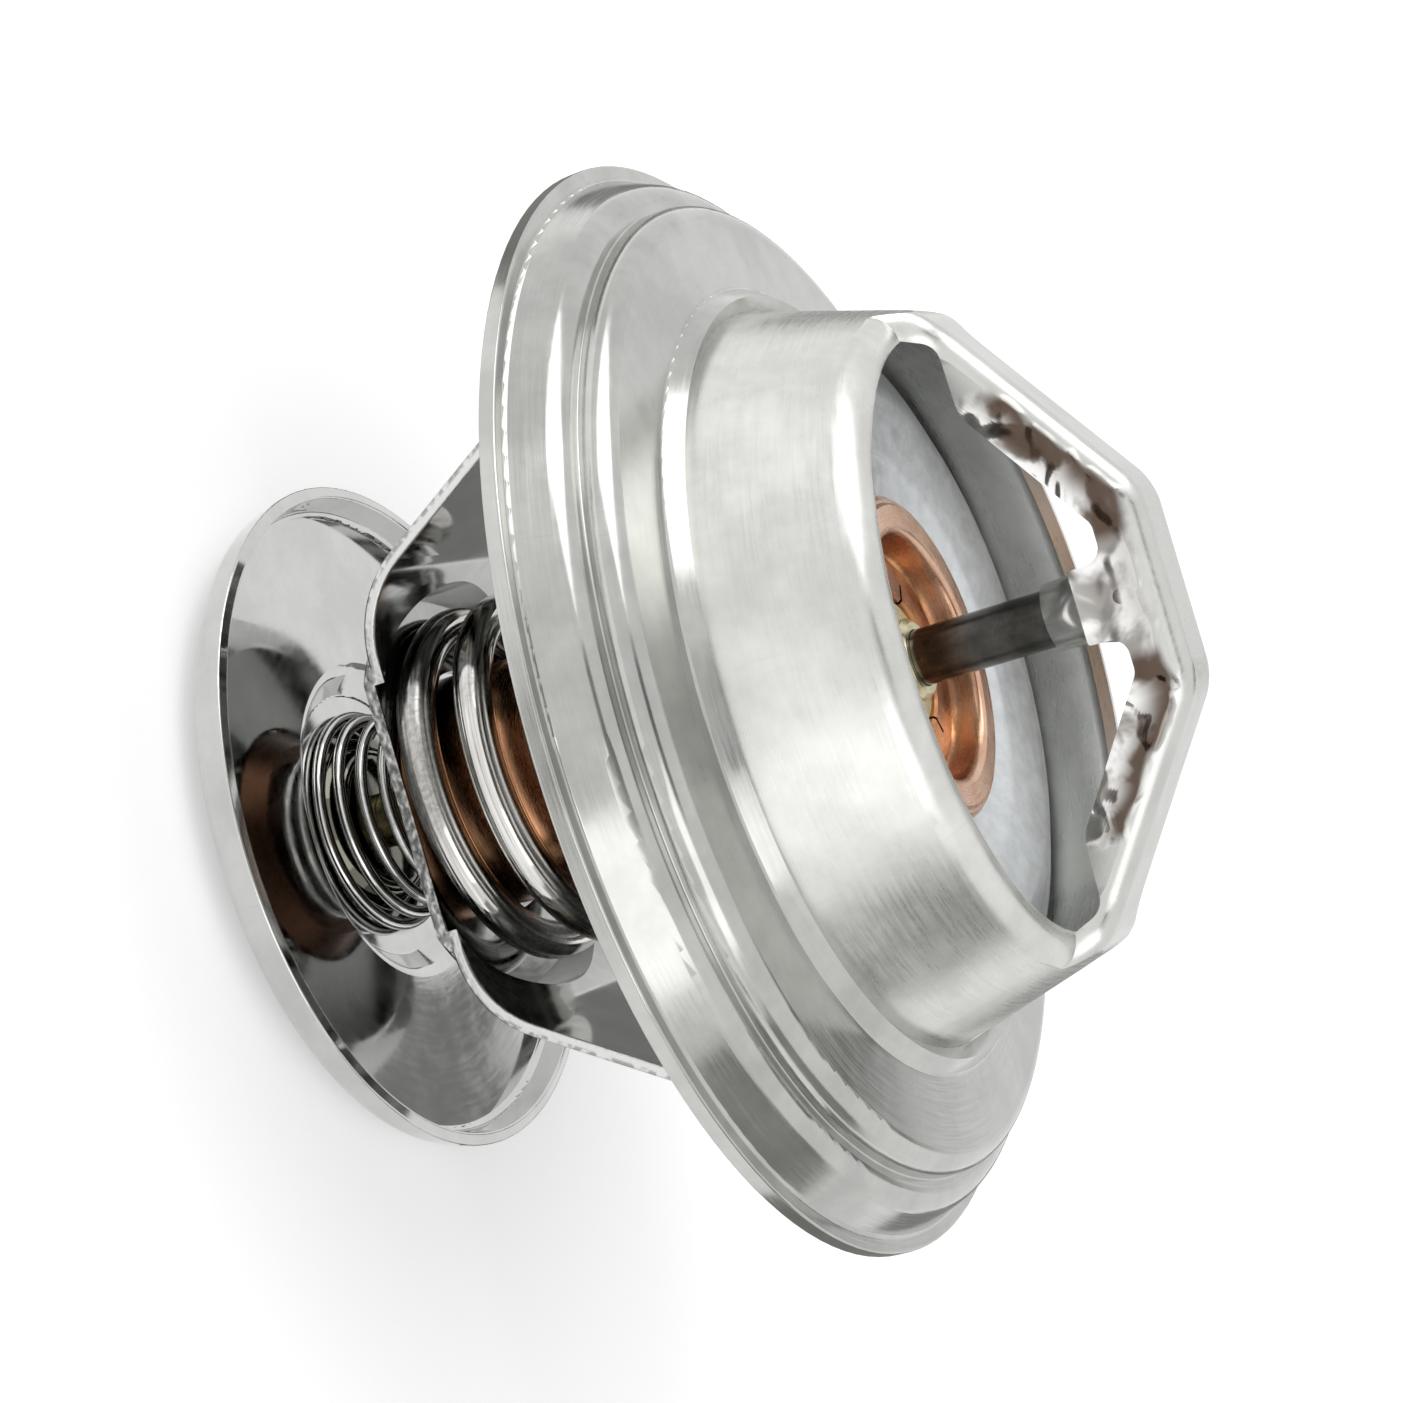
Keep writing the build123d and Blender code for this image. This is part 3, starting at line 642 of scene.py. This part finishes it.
pocket_floor = -0.0201
valve_underside = 0.0077
main_wire = 0.0024
main_radius = 0.0102
main_coil = coil_points(
    turns=6.8,
    start=-0.2,
    foot_radius=main_radius,
    head_radius=main_radius,
    foot_z=pocket_floor,
    head_z=valve_underside,
    wire=main_wire,
)
main_spring = wound_wire("main_spring_wire", main_coil, main_wire, sides=28)
main_wire_steel = wire_steel(
    "main_wire_steel",
    dark=(0.50, 0.48, 0.45, 1),
    light=(0.80, 0.79, 0.77, 1),
    dull=0.55,
    streaks=5.0,
    patches=60.0,
    inner_edge=-0.6,
    outer_edge=0.1,
)
main_spring.data.materials.append(main_wire_steel)
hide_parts("main_spring")
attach(main_spring, "housing")
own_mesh(main_spring)

# Bypass stem and retaining ring. The brass pin is riveted through the cup's floor,
# and the open spring-steel ring in its groove holds the disc up against its spring.
stem_brass = turned_metal(
    "stem_brass",
    dark=(0.30, 0.25, 0.13, 1),
    light=(0.48, 0.41, 0.23, 1),
    smooth=0.18,
    rough=0.32,
    fineness=9000,
    cloud=500,
    grain=0.2,
    depth=0.2,
)
finish_node("bypass_stem", stem_brass)
mirror_steel = turned_metal(
    "mirror_steel",
    dark=(0.56, 0.565, 0.555, 1),
    light=(0.64, 0.645, 0.63, 1),
    smooth=0.035,
    rough=0.07,
    fineness=2500,
    cloud=200,
    grain=0.05,
    depth=0.06,
)
finish_node("retaining_ring", mirror_steel)

# Bypass disc. A dished disc of bright stainless sheet with an upturned rim, pressed
# mirror smooth, with a round seat for its spring.
seat_edge, seat_full = 0.0078, 0.0066
seat_wander = 0.0010
# painted shade and reflection on the seat under the spring
seat_grey = (0.15, 0.145, 0.12, 1)


def add_dark_seat(material):
    """Painted shade and reflection: a darker round seat under the spring, with an uneven edge."""
    shader = shader_of(material)
    tree = material.node_tree
    place = put(tree, "ShaderNodeTexCoord").outputs["Object"]
    _, radius = from_axis(tree, place)
    cloud = noise(tree, place, 300.0, 2.0)
    # painted shade: the seat darkens within its uneven edge
    seat = ramp(tree, calculate(tree, "MULTIPLY_ADD", cloud, seat_wander, radius), seat_edge, seat_full)
    tone = shader.inputs["Base Color"].links[0].from_socket
    tree.links.new(mix_colours(tree, seat, tone, seat_grey), shader.inputs["Base Color"])


add_dark_seat(mirror_steel)
finish_node("bypass_disc", mirror_steel)

# Bypass spring. Thin bright wire, wound narrower towards its upper end, between the
# disc's seat and the cup's floor.
seat_floor = -0.0285
cup_floor = -0.022
bypass_wire = 0.0008
bypass_coil = coil_points(
    turns=4.9,
    start=-0.1,
    foot_radius=0.0069,
    head_radius=0.0048,
    foot_z=seat_floor,
    head_z=cup_floor,
    wire=bypass_wire,
)
bypass_spring = wound_wire("bypass_spring_wire", bypass_coil, bypass_wire, sides=20)
bypass_wire_steel = wire_steel(
    "bypass_wire_steel",
    dark=(0.50, 0.50, 0.48, 1),
    light=(0.78, 0.78, 0.76, 1),
    dull=0.3,
    streaks=4.0,
    patches=90.0,
    inner_edge=0.25,
    outer_edge=0.8,
)
bypass_spring.data.materials.append(bypass_wire_steel)
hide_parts("bypass_spring")
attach(bypass_spring, "element")
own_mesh(bypass_spring)

# Studio. A pale floor that keeps the shadow, a white surround, soft lamps, and dull
# cards for the bright metal to mirror, which the camera doesn't see. Floor and mats
# go down with the element, so that the floor doesn't hide the disc.
floor_gap = 0.00005
floor_height = cad_low.z - floor_gap
floor_reach = 2.0
floor_glow = 0.3
mat_height = floor_height + 0.0002
white = (1, 1, 1, 1)
surround_light = (0.8, 0.8, 0.8, 1)


def level_corners(left, right, back, front, height):
    """The corners of a level rectangle, by its sides in X and in Y."""
    return [(left, back, height), (right, back, height), (right, front, height), (left, front, height)]


def flat_panel(name, corners):
    """One four-cornered face as a staged object."""
    mesh = bpy.data.meshes.new(name)
    shape = bmesh.new()
    shape.faces.new([shape.verts.new(corner) for corner in corners])
    shape.to_mesh(mesh)
    shape.free()
    panel = bpy.data.objects.new(name, mesh)
    bpy.context.scene.collection.objects.link(panel)
    return panel


def card(name, corners, colour):
    """A dull card that only mirrors show."""
    panel = flat_panel(name, corners)
    panel.visible_camera = False
    panel.visible_diffuse = False
    panel.visible_shadow = False
    paint, shader = new_material(name)
    tree = paint.node_tree
    place = put(tree, "ShaderNodeTexCoord").outputs["Object"]
    darker = tuple(0.6 * value for value in colour)
    tone = mix_colours(tree, noise(tree, place, 14.0, 2.0), (*darker, 1), (*colour, 1))
    tree.links.new(tone, shader.inputs["Base Color"])
    shader.inputs["Roughness"].default_value = 0.9
    panel.data.materials.append(paint)
    return panel


def standing_card(name, place, width, height, colour):
    """A card whose face is turned to the origin."""
    place = Vector(place)
    away = place.normalized()
    across = away.cross(Vector((0, 0, 1))).normalized() * width / 2
    up = across.cross(away).normalized() * height / 2
    corners = (place - across - up, place + across - up, place + across + up, place - across + up)
    return card(name, corners, colour)


def seen_rays(tree):
    """1 for what the camera sees, straight, in a mirror or through glass, and else 0."""
    ray = put(tree, "ShaderNodeLightPath")
    mirrored = calculate(tree, "MAXIMUM", ray.outputs["Is Glossy Ray"], ray.outputs["Is Transmission Ray"])
    return calculate(tree, "MAXIMUM", ray.outputs["Is Camera Ray"], mirrored)


floor_corners = level_corners(-floor_reach, floor_reach, -floor_reach, floor_reach, floor_height)
floor = flat_panel("floor", floor_corners)
floor_paint, floor_shader = new_material("floor_paint")
floor_shader.inputs["Base Color"].default_value = (0.9, 0.9, 0.9, 1)
floor_shader.inputs["Roughness"].default_value = 0.9
floor_shader.inputs["Emission Color"].default_value = white
floor_tree = floor_paint.node_tree
glow = calculate(floor_tree, "MULTIPLY", seen_rays(floor_tree), floor_glow)
floor_tree.links.new(glow, floor_shader.inputs["Emission Strength"])
floor.data.materials.append(floor_paint)
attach(floor, "element")
# painted shade: the grey mat on the floor, seen only in mirrors, stands for the floor's shade round the
# part
dull_mat = card("dull_mat", level_corners(-0.2, 0.2, -0.26, 0.0, mat_height), (0.30, 0.305, 0.29))
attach(dull_mat, "element")
brown_mat = card("brown_mat", level_corners(-0.25, 0.16, 0.095, 0.1195, mat_height), (0.09, 0.055, 0.04))
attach(brown_mat, "element")
standing_card("top_card", (0.01, 0.28, 0.45), width=0.26, height=0.14, colour=(0.35, 0.35, 0.34))
standing_card("back_card", (-0.09, -0.40, 0.27), width=0.15, height=0.16, colour=(0.30, 0.305, 0.29))
standing_card("side_card", (-0.40, 0.03, 0.06), width=0.30, height=0.20, colour=(0.42, 0.42, 0.40))


def soft_lamp(name, place, size, power):
    """A square area lamp at a place, turned to the origin."""
    data = bpy.data.lights.new(name, "AREA")
    data.shape = "SQUARE"
    data.size = size
    data.energy = power
    lamp = bpy.data.objects.new(name, data)
    lamp.location = place
    lamp.rotation_euler = (-Vector(place)).to_track_quat("-Z", "Y").to_euler()
    bpy.context.scene.collection.objects.link(lamp)


soft_lamp("top_lamp", (0.55, 0.10, 0.50), size=0.6, power=1.8)
soft_lamp("front_lamp", (-0.35, 0.55, 0.40), size=0.5, power=0.8)

# the surround looks white, and lights the part a little less than white would
world = bpy.data.worlds.new("surround")
bpy.context.scene.world = world
world.use_nodes = True
sky_tree = world.node_tree
sky_tone = mix_colours(sky_tree, seen_rays(sky_tree), surround_light, white)
sky_tree.links.new(sky_tone, sky_tree.nodes["Background"].inputs["Color"])

# Camera. A long lens beside the bridge and a little above it, rolled so that the
# thermostat's axis lies across the frame.
camera_place = Vector((-0.004062, 0.191766, 0.075212))
camera_aim = Vector((0.001276, 0.001622, -0.003817))
camera_roll = 72.9735
camera_data = bpy.data.cameras.new("camera")
camera_data.lens = 88.1
camera_data.sensor_width = 36
camera = bpy.data.objects.new("camera", camera_data)
camera.location = camera_place
look = (camera_aim - camera_place).to_track_quat("-Z", "Y")
camera.rotation_euler = (look.to_matrix() @ Matrix.Rotation(radians(camera_roll), 3, "Z")).to_euler()
bpy.context.scene.collection.objects.link(camera)
bpy.context.scene.camera = camera
bpy.context.scene.view_settings.view_transform = "Standard"
